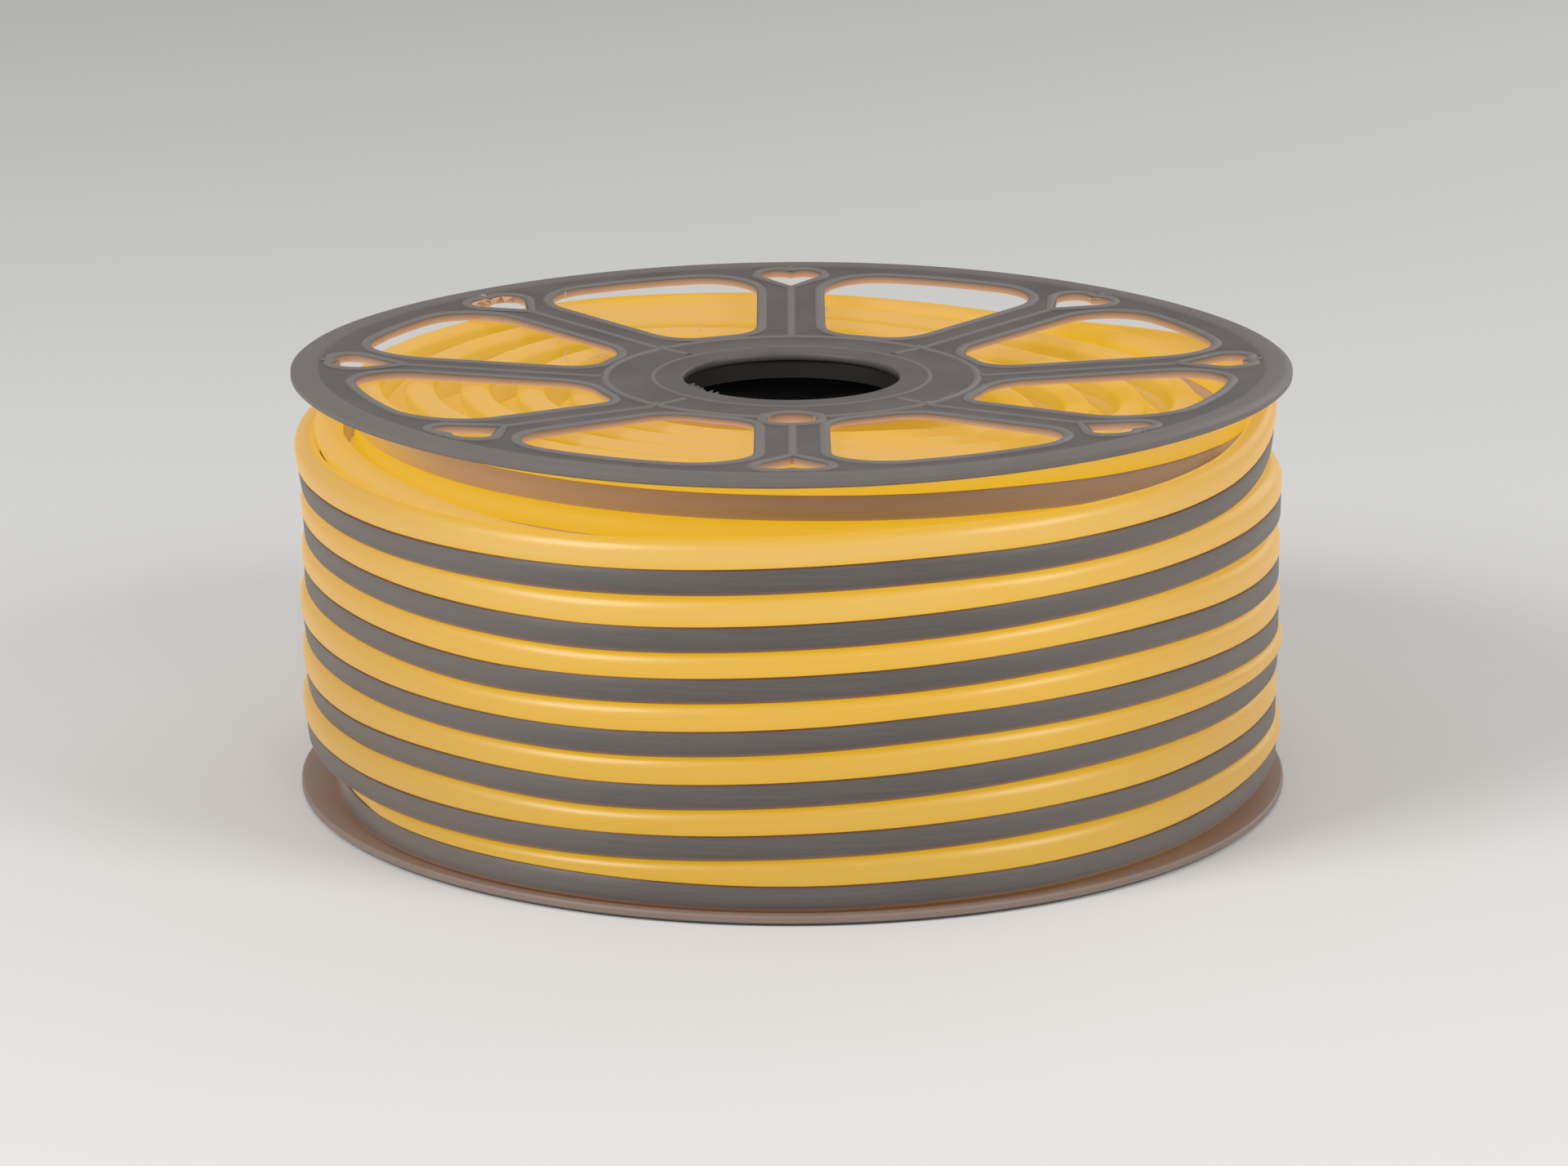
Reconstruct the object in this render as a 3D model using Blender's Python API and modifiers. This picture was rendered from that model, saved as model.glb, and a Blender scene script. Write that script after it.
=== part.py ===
"""LED neon flex wound on its moulded plastic reel, lying on one flange.

Metres, +Z up. The origin is on the reel's axis, on the plane that the reel lies on.
The front spoke points along -Y.
"""
import math

import bmesh
import bpy
from mathutils import Vector

# Reel
FLANGE_RADIUS = 0.1565
REEL_HEIGHT = 0.1360
SEAT_GAP = 0.0003
WEB_THICKNESS = 0.0026
DISH_DEPTH = 0.0067
HUB_RADIUS = 0.0620
RIM_WIDTH = 0.0090
RIM_INNER_RADIUS = FLANGE_RADIUS - RIM_WIDTH
RIM_THICKNESS = 0.0032
RIM_STEP = 0.0008
RIM_ROUNDING = 0.0010
RING_RADIUS = 0.0585
RING_WIDTH = 0.0030
RING_HEIGHT = 0.0008
BORE_RADIUS = 0.0340
BORE_LIP = 0.0023
BOSS_STEP = 0.0010
BOSS_WALL = 0.0030
BOSS_DEPTH = 0.0083

# Cut-outs of a flange
SPOKE_COUNT = 8
SPOKE_WIDTH = 0.0226
OPENING_INNER_RADIUS = 0.0634
OUTER_BAND_WIDTH = 0.0091
OPENING_OUTER_RADIUS = RIM_INNER_RADIUS - OUTER_BAND_WIDTH
INNER_CORNER = 0.0115
OUTER_CORNER = 0.0155
HEART_MARGIN = 0.0040
HEART_LENGTH = 0.0200
HEART_OUTER_RADIUS = RIM_INNER_RADIUS - HEART_MARGIN
HEART_TIP_RADIUS = HEART_OUTER_RADIUS - HEART_LENGTH
HEART_LOBE_RADIUS = 0.0057
HEART_LOBE_OFFSET = 0.0043
THREADING_HOLE_PLACE = 0.0610
THREADING_HOLE_RADIUS = 0.0075
CUTTER_MARGIN = 0.0100

# Drum
DRUM_RADIUS = 0.0520
DRUM_WALL = 0.0030

# Winding
FLEX_HEIGHT = 0.01465
FLEX_DOME_RISE = 0.0040
FLEX_SHOULDER_RISE = 0.0030
FLEX_SHOULDER_INSET = 0.0012
FLEX_EDGE = 0.0008
TURN_GAP = 0.0013
WINDING_MARGIN = 0.0021
WINDING_RADIUS = FLANGE_RADIUS - WINDING_MARGIN
LAYER_COUNT = 12
WINDING_HEADROOM = 0.0012
FUSION = 0.0002

# Where the turns lie: sweeps are in turns round the reel, past its front
FOOT_SWEEP = 0.15
STRAY_ONCE = 0.0024
STRAY_TWICE = 0.0033
TAIL_SWEEP = 0.25
TAIL_CLIMB = 0.0130
CREST_START = 0.35
CREST_SWEEP = 0.35
CREST_FALL_SWEEP = 0.30
CREST_FALL = 0.0153
CREST_MERGE_SWEEP = 0.30

# Roundness of the meshes
REEL_STEPS = 48
WINDING_STEPS = 40
CORNER_STEPS = 5
HOLE_SIDES = 20
SHARP_ANGLE = math.radians(40.0)

HUB_INNER_FACE = DISH_DEPTH + WEB_THICKNESS
WINDING_INNER_RADIUS = DRUM_RADIUS + SEAT_GAP
LAYER_PITCH = (WINDING_RADIUS - WINDING_INNER_RADIUS) / LAYER_COUNT
TURN_RISE = FLEX_HEIGHT + TURN_GAP


def clear_scene():
    """Start from an empty scene."""
    for obj in list(bpy.data.objects):
        bpy.data.objects.remove(obj, do_unlink=True)


def new_collection(name):
    """Return a new collection, linked to the scene."""
    collection = bpy.data.collections.new(name)
    bpy.context.scene.collection.children.link(collection)
    return collection


def plastic(name, color, roughness):
    """Return a plain plastic material."""
    material = bpy.data.materials.new(name)
    material.use_nodes = True
    shader = material.node_tree.nodes["Principled BSDF"]
    shader.inputs["Base Color"].default_value = (*color, 1.0)
    shader.inputs["Roughness"].default_value = roughness
    shader.inputs["Metallic"].default_value = 0.0
    material.diffuse_color = (*color, 1.0)
    return material


def polar(radius, angle):
    """Return the plane point at a radius and an angle from +X."""
    return Vector((radius * math.cos(angle), radius * math.sin(angle)))


def arc(centre, radius, start, end, steps):
    """Return the points of a circular arc, both ends included."""
    angles = [start + (end - start) * step / steps for step in range(steps + 1)]
    return [centre + polar(radius, angle) for angle in angles]


def turned(name, profile, steps, material, collection):
    """Turn a closed (radius, height) profile round the Z axis with a Screw modifier."""
    mesh = bpy.data.meshes.new(name)
    points = [(radius, 0.0, height) for radius, height in profile]
    edges = [(index, (index + 1) % len(points)) for index in range(len(points))]
    mesh.from_pydata(points, edges, [])
    piece = bpy.data.objects.new(name, mesh)
    collection.objects.link(piece)
    screw = piece.modifiers.new("Turn", "SCREW")
    screw.axis = "Z"
    screw.steps = steps
    screw.render_steps = steps
    screw.use_merge_vertices = True
    screw.merge_threshold = 0.00001
    piece.data.materials.append(material)
    return piece


def settle(piece):
    """Make a piece's modifiers plain mesh, shaded smooth up to its real edges."""
    evaluated = piece.evaluated_get(bpy.context.evaluated_depsgraph_get())
    mesh = bpy.data.meshes.new_from_object(evaluated)
    piece.modifiers.clear()
    piece.data = mesh
    mesh.shade_smooth()
    mesh.set_sharp_from_angle(angle=SHARP_ANGLE)


def closed_mesh(curve):
    """Turn a curve's filled shape into one closed mesh, with its caps welded on."""
    guide = bpy.data.objects.new(curve.name, curve)
    bpy.context.scene.collection.objects.link(guide)
    evaluated = guide.evaluated_get(bpy.context.evaluated_depsgraph_get())
    mesh = bpy.data.meshes.new_from_object(evaluated)
    bpy.data.objects.remove(guide, do_unlink=True)
    shape = bmesh.new()
    shape.from_mesh(mesh)
    bmesh.ops.remove_doubles(shape, verts=shape.verts, dist=0.000001)
    bmesh.ops.recalc_face_normals(shape, faces=shape.faces)
    shape.to_mesh(mesh)
    shape.free()
    return mesh


def cutter_mesh(name, outline):
    """Extrude a flat outline through the whole height of the reel."""
    curve = bpy.data.curves.new(name, "CURVE")
    curve.dimensions = "2D"
    curve.fill_mode = "BOTH"
    curve.extrude = REEL_HEIGHT / 2.0 + CUTTER_MARGIN
    spline = curve.splines.new("POLY")
    spline.points.add(len(outline) - 1)
    for point, place in zip(spline.points, outline):
        point.co = (place.x, place.y, 0.0, 1.0)
    spline.use_cyclic_u = True
    return closed_mesh(curve)


def add_cutter(name, mesh, angle, collection):
    """Place a cutter at an angle round the reel's axis."""
    cutter = bpy.data.objects.new(name, mesh)
    cutter.location = (0.0, 0.0, REEL_HEIGHT / 2.0)
    cutter.rotation_euler = (0.0, 0.0, angle)
    cutter.hide_render = True
    cutter.display_type = "WIRE"
    collection.objects.link(cutter)


def opening_outline():
    """Return the outline of the opening between the spoke along +X and the next one."""
    spoke_edge = SPOKE_WIDTH / 2.0
    middle = math.pi / SPOKE_COUNT
    inner_reach = OPENING_INNER_RADIUS + INNER_CORNER
    inner_turn = math.asin((spoke_edge + INNER_CORNER) / inner_reach)
    outer_reach = OPENING_OUTER_RADIUS - OUTER_CORNER
    outer_turn = math.asin((spoke_edge + OUTER_CORNER) / outer_reach)
    half = [polar(OPENING_INNER_RADIUS, middle)]
    half += arc(polar(inner_reach, inner_turn), INNER_CORNER,
                inner_turn + math.pi, 1.5 * math.pi, CORNER_STEPS)
    half += arc(polar(outer_reach, outer_turn), OUTER_CORNER,
                -0.5 * math.pi, outer_turn, CORNER_STEPS)
    half += arc(Vector((0.0, 0.0)), OPENING_OUTER_RADIUS, outer_turn, middle, 2)[1:]
    along = polar(1.0, middle)
    mirrored = [2.0 * point.dot(along) * along - point for point in half[1:-1]]
    return half + mirrored[::-1]


def heart_outline():
    """Return the heart-shaped outline on the spoke along +X, its tip towards the hub."""
    tip = Vector((HEART_TIP_RADIUS, 0.0))
    lobe = Vector((HEART_OUTER_RADIUS - HEART_LOBE_RADIUS, HEART_LOBE_OFFSET))
    reach = lobe - tip
    side = math.atan2(reach.y, reach.x) + math.asin(HEART_LOBE_RADIUS / reach.length)
    cleft = -math.asin(HEART_LOBE_OFFSET / HEART_LOBE_RADIUS)
    half = arc(lobe, HEART_LOBE_RADIUS, side + 0.5 * math.pi, cleft, 2 * CORNER_STEPS)
    mirrored = [Vector((point.x, -point.y)) for point in half[:-1]]
    return [tip] + half + mirrored[::-1]


def hole_outline():
    """Return the outline of the round threading hole on the spoke along +X."""
    centre = Vector((THREADING_HOLE_PLACE, 0.0))
    return arc(centre, THREADING_HOLE_RADIUS, 0.0, 2.0 * math.pi, HOLE_SIDES)[:-1]


def make_cutters(collection):
    """Make the cutters that pass through both flanges."""
    front = -0.5 * math.pi
    sector = 2.0 * math.pi / SPOKE_COUNT
    opening = cutter_mesh("opening", opening_outline())
    heart = cutter_mesh("heart", heart_outline())
    for index in range(SPOKE_COUNT):
        add_cutter("opening_cutter_%d" % index, opening, front + index * sector, collection)
        add_cutter("heart_cutter_%d" % index, heart, front + index * sector, collection)
    hole = cutter_mesh("threading_hole", hole_outline())
    add_cutter("threading_hole_cutter", hole, front, collection)


def flange_profile():
    """Return a flange's section as (radius, depth below the rim's outer face)."""
    outer_face = [
        (BORE_RADIUS, DISH_DEPTH),
        (RING_RADIUS - RING_WIDTH / 2.0, DISH_DEPTH),
        (RING_RADIUS, DISH_DEPTH - RING_HEIGHT),
        (RING_RADIUS + RING_WIDTH / 2.0, DISH_DEPTH),
        (HUB_RADIUS, DISH_DEPTH),
        (RIM_INNER_RADIUS, RIM_STEP),
        (RIM_INNER_RADIUS + RIM_ROUNDING, 0.0),
        (FLANGE_RADIUS - RIM_ROUNDING, 0.0),
        (FLANGE_RADIUS, RIM_ROUNDING),
    ]
    inner_face = [
        (FLANGE_RADIUS, RIM_THICKNESS - RIM_ROUNDING / 2.0),
        (FLANGE_RADIUS - RIM_ROUNDING / 2.0, RIM_THICKNESS),
        (RIM_INNER_RADIUS, RIM_STEP + WEB_THICKNESS),
        (HUB_RADIUS, HUB_INNER_FACE),
        (BORE_RADIUS + BOSS_STEP + BOSS_WALL, HUB_INNER_FACE),
        (BORE_RADIUS + BOSS_STEP + BOSS_WALL, DISH_DEPTH + BOSS_DEPTH),
        (BORE_RADIUS + BOSS_STEP, DISH_DEPTH + BOSS_DEPTH),
        (BORE_RADIUS + BOSS_STEP, DISH_DEPTH + BORE_LIP),
        (BORE_RADIUS, DISH_DEPTH + BORE_LIP),
    ]
    return outer_face + inner_face


def make_flange(name, on_top, cutters, material, collection):
    """Make a dished, spoked flange; the lower one is the upper one turned over."""
    if on_top:
        profile = [(radius, REEL_HEIGHT - depth) for radius, depth in flange_profile()]
    else:
        profile = [(radius, depth) for radius, depth in reversed(flange_profile())]
    flange = turned(name, profile, REEL_STEPS, material, collection)
    cut = flange.modifiers.new("Cut-outs", "BOOLEAN")
    cut.operation = "DIFFERENCE"
    cut.operand_type = "COLLECTION"
    cut.collection = cutters
    cut.solver = "EXACT"
    settle(flange)


def make_drum(material, collection):
    """Make the tube that holds the flanges apart and carries the winding."""
    top = REEL_HEIGHT - HUB_INNER_FACE - SEAT_GAP
    bottom = HUB_INNER_FACE + SEAT_GAP
    bore = DRUM_RADIUS - DRUM_WALL
    profile = [(bore, top), (DRUM_RADIUS, top), (DRUM_RADIUS, bottom), (bore, bottom)]
    settle(turned("hub_drum", profile, REEL_STEPS, material, collection))


def web_inner_face(radius):
    """Return the height of a flange's inner face at a radius on its cone."""
    outward = (radius - HUB_RADIUS) / (RIM_INNER_RADIUS - HUB_RADIUS)
    return HUB_INNER_FACE + (RIM_STEP - DISH_DEPTH) * outward


def layer_inner_radius(layer):
    """Return the radius of the inner side of a layer of the winding."""
    return WINDING_INNER_RADIUS + layer * LAYER_PITCH


def is_falling(layer):
    """Tell whether a layer was wound downwards, from the upper flange."""
    return layer > 0 and layer % 2 == 0


def outer_floor():
    """Return the lowest level of the outermost layer, on the lower flange."""
    return web_inner_face(layer_inner_radius(LAYER_COUNT - 1)) + SEAT_GAP


def crest_level():
    """Return the highest level of the turns that lie against the upper flange."""
    return REEL_HEIGHT - HUB_INNER_FACE - WINDING_HEADROOM


def core_top(layer):
    """Return the level up to which a layer of the winding is the same all round."""
    if is_falling(layer):
        return crest_level() - CREST_FALL - CREST_MERGE_SWEEP * TURN_RISE
    return crest_level()


def core_profile():
    """Return the section of all but the outermost layer: domes on top, bases below."""
    inner_layers = range(LAYER_COUNT - 1)
    floor = HUB_INNER_FACE + SEAT_GAP
    profile = []
    for layer in inner_layers:
        inner = layer_inner_radius(layer)
        outer = layer_inner_radius(layer + 1)
        top = core_top(layer)
        if layer == 0 or top != core_top(layer - 1):
            profile.append((inner, top - FLEX_DOME_RISE))
        if not is_falling(layer):
            profile.append((inner + FLEX_SHOULDER_INSET, top - FLEX_DOME_RISE + FLEX_SHOULDER_RISE))
        profile.append(((inner + outer) / 2.0, top))
        if not is_falling(layer):
            profile.append((outer - FLEX_SHOULDER_INSET, top - FLEX_DOME_RISE + FLEX_SHOULDER_RISE))
        profile.append((outer, top - FLEX_DOME_RISE))
    for layer in reversed(inner_layers):
        outer = layer_inner_radius(layer + 1)
        profile.append((outer, floor + FLEX_EDGE))
        profile.append((outer - FLEX_EDGE, floor))
    profile.append((WINDING_INNER_RADIUS, floor))
    return profile


def flex_section(name, left, right, foot, collection):
    """Make the flex's section as a flat curve: left to right, from its foot to its dome."""
    shoulder = FLEX_HEIGHT - FLEX_DOME_RISE
    outline = [
        (left, foot),
        (right - FLEX_EDGE, foot),
        (right, foot + FLEX_EDGE),
        (right, shoulder),
        (right - FLEX_SHOULDER_INSET, shoulder + FLEX_SHOULDER_RISE),
        ((left + right) / 2.0, FLEX_HEIGHT),
        (left + FLEX_SHOULDER_INSET, shoulder + FLEX_SHOULDER_RISE),
        (left, shoulder),
    ]
    curve = bpy.data.curves.new(name, "CURVE")
    curve.dimensions = "2D"
    spline = curve.splines.new("POLY")
    spline.points.add(len(outline) - 1)
    for point, (across, up) in zip(spline.points, outline):
        point.co = (across, up, 0.0, 1.0)
    spline.use_cyclic_u = True
    section = bpy.data.objects.new(name, curve)
    section.hide_render = True
    collection.objects.link(section)
    return section


def wound(name, radius, route, section, collection):
    """Sweep a section along (turns, height, scale) stations at a radius round the reel."""
    curve = bpy.data.curves.new(name, "CURVE")
    curve.dimensions = "3D"
    curve.twist_mode = "Z_UP"
    curve.bevel_mode = "OBJECT"
    curve.bevel_object = section
    curve.use_fill_caps = True
    spline = curve.splines.new("POLY")
    spline.points.add(len(route) - 1)
    for point, (turns, height, scale) in zip(spline.points, route):
        place = polar(radius, 2.0 * math.pi * turns - 0.5 * math.pi)
        point.co = (place.x, place.y, height, 1.0)
        point.radius = scale
    turns = bpy.data.objects.new(name, closed_mesh(curve))
    turns.hide_render = True
    turns.display_type = "WIRE"
    collection.objects.link(turns)


def smooth_step(share):
    """Rise smoothly from 0 to 1 with a share that is cut off at 0 and 1."""
    share = min(1.0, max(0.0, share))
    return share * share * (3.0 - 2.0 * share)


def outer_height(turns, last):
    """Return the level of the outermost layer's base, from its foot to its tail."""
    azimuth = 2.0 * math.pi * turns
    stray = STRAY_TWICE * math.sin(2.0 * azimuth) - STRAY_ONCE * math.sin(azimuth)
    climb = TAIL_CLIMB * smooth_step((turns - last + TAIL_SWEEP) / TAIL_SWEEP)
    floor = outer_floor()
    ceiling = REEL_HEIGHT - floor - FLEX_HEIGHT
    return min(ceiling, max(floor, floor + TURN_RISE * turns + stray + climb))


def outer_route():
    """Return the stations of the outermost layer, pinched where a turn is crossed low."""
    last = (REEL_HEIGHT - 2.0 * outer_floor() - FLEX_HEIGHT - TAIL_CLIMB) / TURN_RISE
    foot = round(FOOT_SWEEP * WINDING_STEPS)
    route = []
    for step in range(-foot, int(last * WINDING_STEPS) + 1):
        turns = step / WINDING_STEPS
        height = outer_height(turns, last)
        scale = 1.0
        if turns + 1.0 < last:
            room = outer_height(turns + 1.0, last) - height
            scale = min(1.0, (room - FUSION) / FLEX_HEIGHT)
        route.append((turns, height, scale))
    return route


def crest_route():
    """Return the stations of a falling layer's top turn, from the flange into the layer."""
    start = CREST_START * WINDING_STEPS
    end = (CREST_START + CREST_SWEEP + CREST_FALL_SWEEP + CREST_MERGE_SWEEP) * WINDING_STEPS
    route = []
    for step in range(round(start), round(end)):
        turns = step / WINDING_STEPS
        past = turns - CREST_START - CREST_SWEEP
        fall = CREST_FALL * smooth_step(past / CREST_FALL_SWEEP)
        fall += TURN_RISE * max(0.0, past - CREST_FALL_SWEEP)
        route.append((turns, crest_level() - FLEX_HEIGHT - fall, 1.0))
    return route


def make_winding(material, collection, turns):
    """Make the wound flex as one solid: a turned core and the turns that climb or fall on it."""
    outermost = LAYER_COUNT - 1
    outer_section = flex_section("outer_section", -FUSION, LAYER_PITCH, 0.0, turns)
    wound("outer_layer", layer_inner_radius(outermost), outer_route(), outer_section, turns)
    depth = CREST_FALL + CREST_MERGE_SWEEP * TURN_RISE
    crest_section = flex_section("crest_section", -FUSION, LAYER_PITCH + FUSION, -depth, turns)
    for layer in range(outermost):
        if is_falling(layer):
            name = "crest_of_layer_%d" % layer
            wound(name, layer_inner_radius(layer), crest_route(), crest_section, turns)
    for section in (outer_section, crest_section):
        bpy.data.objects.remove(section, do_unlink=True)
    coil = turned("neon_flex_coil", core_profile(), WINDING_STEPS, material, collection)
    fuse = coil.modifiers.new("Wound turns", "BOOLEAN")
    fuse.operation = "UNION"
    fuse.operand_type = "COLLECTION"
    fuse.collection = turns
    fuse.solver = "EXACT"
    settle(coil)


clear_scene()
parts = new_collection("led_neon_flex_reel")
cutters = new_collection("cutters")
wound_turns = new_collection("wound_turns")
reel_plastic = plastic("reel_plastic", (0.205, 0.188, 0.184), 0.55)
flex_plastic = plastic("neon_flex", (0.86, 0.50, 0.11), 0.45)
make_cutters(cutters)
make_flange("flange_top", True, cutters, reel_plastic, parts)
make_flange("flange_bottom", False, cutters, reel_plastic, parts)
make_drum(reel_plastic, parts)
make_winding(flex_plastic, parts, wound_turns)
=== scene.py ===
"""LED neon flex wound on its plastic reel: the finished look of every piece."""
import math
import random

import bmesh
import bpy
import numpy as np
from mathutils import Matrix, Vector


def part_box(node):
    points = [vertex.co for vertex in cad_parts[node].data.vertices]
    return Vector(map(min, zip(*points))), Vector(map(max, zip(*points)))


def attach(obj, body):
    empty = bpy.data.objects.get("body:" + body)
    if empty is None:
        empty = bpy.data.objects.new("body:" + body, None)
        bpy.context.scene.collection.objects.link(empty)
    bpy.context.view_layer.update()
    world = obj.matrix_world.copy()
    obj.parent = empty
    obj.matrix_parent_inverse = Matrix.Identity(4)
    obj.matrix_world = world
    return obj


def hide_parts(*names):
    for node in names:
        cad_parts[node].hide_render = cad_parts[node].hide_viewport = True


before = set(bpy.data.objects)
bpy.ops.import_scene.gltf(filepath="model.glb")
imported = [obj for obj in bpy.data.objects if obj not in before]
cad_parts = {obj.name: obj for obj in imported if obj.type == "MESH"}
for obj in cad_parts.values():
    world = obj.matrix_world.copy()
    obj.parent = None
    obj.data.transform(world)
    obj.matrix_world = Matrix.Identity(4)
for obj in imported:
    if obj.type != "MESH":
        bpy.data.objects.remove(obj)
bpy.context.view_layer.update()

# Camera
# A long lens, a little above the reel and turned down to it, as in the photograph.
photo_width_px = 1920
focal_length_px = 6054
camera_place = (-0.00254, -1.5176, 0.46246)
look_down = math.radians(14.784)
roll = math.radians(0.1675)
camera = bpy.data.objects.new("camera", bpy.data.cameras.new("camera"))
bpy.context.scene.collection.objects.link(camera)
camera.data.sensor_width = 36.0
camera.data.lens = camera.data.sensor_width * focal_length_px / photo_width_px
turn_down = Matrix.Rotation(0.5 * math.pi - look_down, 4, "X")
camera.matrix_world = Matrix.Translation(camera_place) @ turn_down @ Matrix.Rotation(-roll, 4, "Z")
bpy.context.scene.camera = camera

# Floor and studio light
# A plain pale floor that fills the view, a large soft light on each side, a small one in
# front that puts short streaks on the glossy domes, and a weak one behind.
floor_size = 14.0
floor_mesh = bpy.data.meshes.new("floor")
shape = bmesh.new()
bmesh.ops.create_grid(shape, x_segments=1, y_segments=1, size=floor_size / 2.0)
shape.to_mesh(floor_mesh)
shape.free()
floor = bpy.data.objects.new("floor", floor_mesh)
bpy.context.scene.collection.objects.link(floor)
floor_paint = bpy.data.materials.new("pale_floor")
floor_paint.use_nodes = True
floor_shader = floor_paint.node_tree.nodes["Principled BSDF"]
floor_shader.inputs["Base Color"].default_value = (0.74, 0.735, 0.725, 1.0)
floor_shader.inputs["Roughness"].default_value = 0.75
floor_mesh.materials.append(floor_paint)

studio = bpy.data.worlds.new("studio")
studio.use_nodes = True
studio.node_tree.nodes["Background"].inputs["Color"].default_value = (1.0, 1.0, 1.0, 1.0)
studio.node_tree.nodes["Background"].inputs["Strength"].default_value = 0.42
bpy.context.scene.world = studio

soft_lights = [
    ("key_light", (-1.45, -1.05, 1.35), 1.0, 28.0),
    ("fill_light", (1.50, -0.95, 1.20), 0.9, 17.0),
    ("small_light", (0.42, -1.55, 1.05), 0.07, 1.0),
    ("back_light", (1.30, 1.50, 1.00), 1.6, 6.0),
]
for name, place, size, watts in soft_lights:
    lamp = bpy.data.lights.new(name, "AREA")
    lamp.shape = "DISK"
    lamp.size = size
    lamp.energy = watts
    light = bpy.data.objects.new(name, lamp)
    light.location = place
    light.rotation_euler = (Vector((0.0, 0.0, 0.08)) - light.location).to_track_quat("-Z", "Y").to_euler()
    bpy.context.scene.collection.objects.link(light)

bpy.context.scene.view_settings.view_transform = "Standard"


# Reel flanges
# Two equal mouldings of grey plastic, each a dished wheel of eight spokes with a bored hub.
# They are injection moulded: beads stiffen every cut-out, a rib runs along each spoke, and
# thin flash is left at some of the edges. The upper one is a little warped.
flange_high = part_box("flange_top")[1]
flange_radius = flange_high.x
reel_height = flange_high.z
drum_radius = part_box("hub_drum")[1].x
MM = 0.001
dish_depth = 0.0067
web_thickness = 0.0026
spoke_thickness = 0.0016
band_thickness = 0.0023
hub_radius = 0.0620
rim_inner_radius = 0.1475
rim_step = 0.0008
rim_thickness = 0.0032
bore_radius = 0.0340
bore_lip = 0.0023
boss_step = 0.0010
boss_wall = 0.0030
boss_depth = 0.0083
ring_radius = 0.0585
ring_width = 0.0030
ring_height = 0.0007
inner_ring_radius = 0.0435
inner_ring_width = 0.0022
inner_ring_height = 0.0004
bore_rounding = 0.0005
spoke_count = 8
spoke_width = 0.0226
opening_inner_radius = 0.0638
opening_outer_radius = 0.1380
inner_corner = 0.0133
outer_corner = 0.0180
heart_tip_radius = 0.1235
heart_outer_radius = 0.1435
heart_lobe_radius = 0.0057
heart_lobe_offset = 0.0043
threading_hole_place = 0.0610
threading_hole_radius = 0.0075
bead_width = 0.0034
bead_height = 0.0008
rib_width = 0.0030
rib_height = 0.0005
rim_edge_rounding = 0.0006
film_thickness = 0.18 * MM
thread_thickness = 0.42 * MM
reel_steps = 288
corner_steps = 9


def swelling(distance, width):
    """A smooth hump of height 1 across a bead of the given width."""
    return math.cos(math.pi * distance / width) ** 2 if abs(distance) < width / 2.0 else 0.0


def face_depth(radius):
    """How far a flange's outer face lies below the top of its rim."""
    if radius < hub_radius:
        ring = ring_height * swelling(radius - ring_radius, ring_width)
        inner_ring = inner_ring_height * swelling(radius - inner_ring_radius, inner_ring_width)
        lip = bore_rounding * max(0.0, 1.0 - (radius - bore_radius) / bore_rounding) ** 2
        return dish_depth + lip - ring - inner_ring
    if radius < rim_inner_radius:
        outward = (radius - hub_radius) / (rim_inner_radius - hub_radius)
        return dish_depth + (rim_step - dish_depth) * outward
    rim_middle = (rim_inner_radius + flange_radius) / 2.0
    across = (radius - rim_middle) / (flange_radius - rim_middle)
    return rim_step * abs(across) ** 3 if across < 0 else 0.0012 * across ** 4


def rim_warp(azimuth, radius):
    """How far the upper flange is bent down at an azimuth from the front."""
    wave = (0.22 * math.sin(2 * azimuth) - 0.44 * math.cos(2 * azimuth)
            + 0.52 * math.sin(3 * azimuth) - 1.31 * math.cos(3 * azimuth))
    return 0.001 * (0.6 * wave - 1.06) * (radius / flange_radius) ** 2


def polar(radius, angle):
    return Vector((radius * math.cos(angle), radius * math.sin(angle)))


def arc(centre, radius, start, end, steps):
    angles = [start + (end - start) * step / steps for step in range(steps + 1)]
    return [centre + polar(radius, angle) for angle in angles]


def opening_outline(margin=0.0):
    """The opening between the spoke along +X and the next one, pushed out by a margin."""
    spoke_edge = spoke_width / 2.0 - margin
    small, large = inner_corner + margin, outer_corner + margin
    middle = math.pi / spoke_count
    inner_reach = opening_inner_radius + inner_corner
    inner_turn = math.asin((spoke_edge + small) / inner_reach)
    outer_reach = opening_outer_radius - outer_corner
    outer_turn = math.asin((spoke_edge + large) / outer_reach)
    half = [polar(opening_inner_radius - margin, middle)]
    half += arc(polar(inner_reach, inner_turn), small, inner_turn + math.pi, 1.5 * math.pi, corner_steps)
    half += arc(polar(outer_reach, outer_turn), large, -0.5 * math.pi, outer_turn, corner_steps)
    half += arc(Vector((0.0, 0.0)), opening_outer_radius + margin, outer_turn, middle, 3)[1:]
    along = polar(1.0, middle)
    mirrored = [2.0 * point.dot(along) * along - point for point in half[1:-1]]
    return half + mirrored[::-1]


def heart_outline(margin=0.0):
    """The heart-shaped hole on the spoke along +X, its tip towards the hub."""
    lobe_radius = heart_lobe_radius + margin
    lobe = Vector((heart_outer_radius - heart_lobe_radius, heart_lobe_offset))
    reach = lobe - Vector((heart_tip_radius, 0.0))
    side = math.atan2(reach.y, reach.x) + math.asin(heart_lobe_radius / reach.length)
    tip = Vector((heart_tip_radius - margin / math.sin(side), 0.0))
    cleft = -math.asin(heart_lobe_offset / lobe_radius)
    half = arc(lobe, lobe_radius, side + 0.5 * math.pi, cleft, 2 * corner_steps)
    mirrored = [Vector((point.x, -point.y)) for point in half[:-1]]
    return [tip] + half + mirrored[::-1]


def hole_outline(margin=0.0):
    """The round threading hole on the spoke along +X."""
    centre = Vector((threading_hole_place, 0.0))
    return arc(centre, threading_hole_radius + margin, 0.0, 2.0 * math.pi, 6 * corner_steps)[:-1]


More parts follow.
